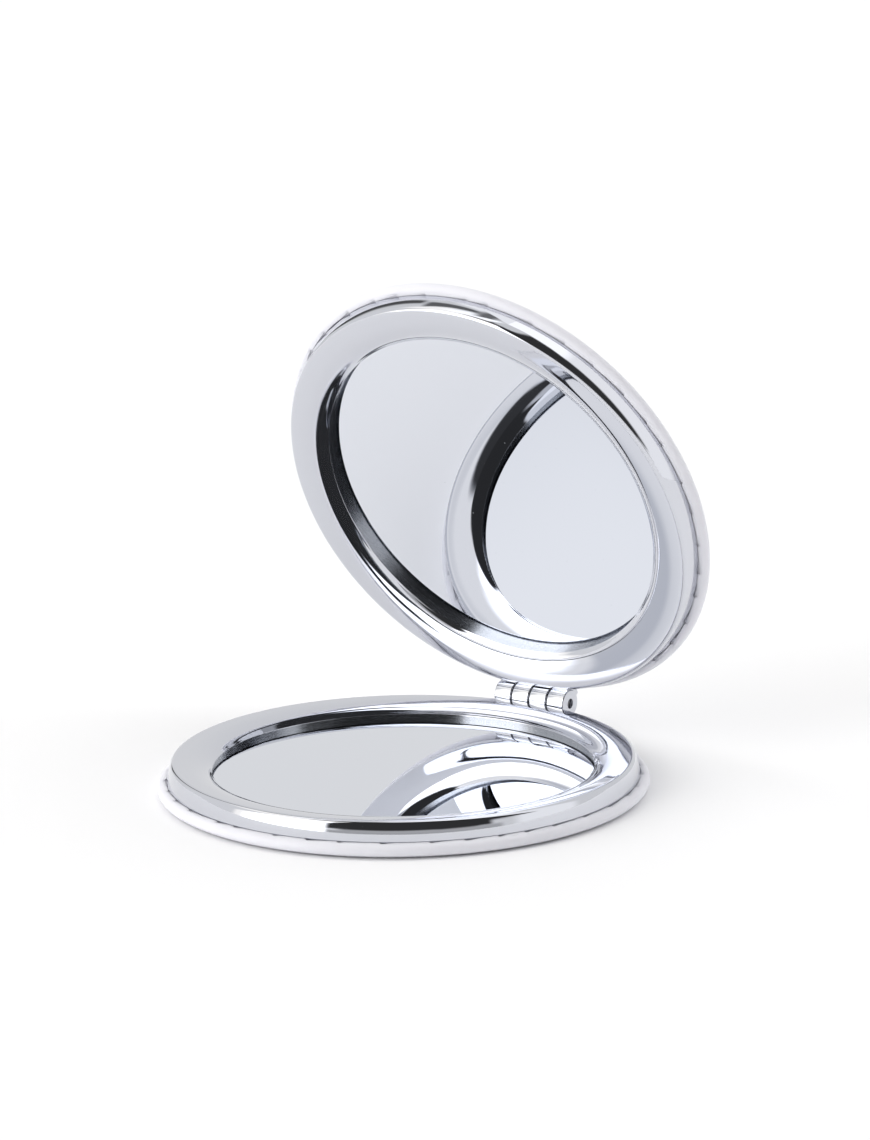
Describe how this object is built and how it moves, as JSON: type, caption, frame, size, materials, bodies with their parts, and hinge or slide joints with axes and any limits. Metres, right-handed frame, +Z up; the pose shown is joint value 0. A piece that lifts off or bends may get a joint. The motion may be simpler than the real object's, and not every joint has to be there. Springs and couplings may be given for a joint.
{
  "type": "folding pocket mirror",
  "caption": "Round folding pocket mirror: two recessed mirrors in chrome rings with padded leatherette backs, joined by a knuckle hinge and shown part way open.",
  "frame": {"origin": "centre of the lower cover's flat resting face", "axes": "+Z up out of the lower mirror, +Y towards the hinge, +X along the hinge axis"},
  "size_m": [0.07, 0.0739, 0.0707],
  "materials": {
    "chrome": "polished",
    "mirror": "silvered glass",
    "tape": "matte foam",
    "plate": "tinned",
    "foam": "open-cell foam",
    "leatherette": "fine grain, soft sheen",
    "magnet": "nickel plated",
    "pin": "drawn wire"
  },
  "bodies": {
    "base": {"lower_frame": "chrome", "lower_mirror": "mirror", "lower_mirror_tape": "tape", "lower_cover_plate": "plate", "lower_cover_foam": "foam", "lower_cover": "leatherette", "lower_magnet": "magnet", "hinge_pin": "pin"},
    "lid": {"upper_frame": "chrome", "upper_mirror": "mirror", "upper_mirror_tape": "tape", "upper_cover_plate": "plate", "upper_cover_foam": "foam", "upper_cover": "leatherette", "upper_magnet": "magnet"}
  },
  "joints": [
    {"name": "lid_hinge", "type": "hinge", "parent": "base", "child": "lid", "pos_m": [0, 0.03474, 0.005], "axis": [-1, 0, 0], "range_deg": [-66.9, 93.1]}
  ]
}
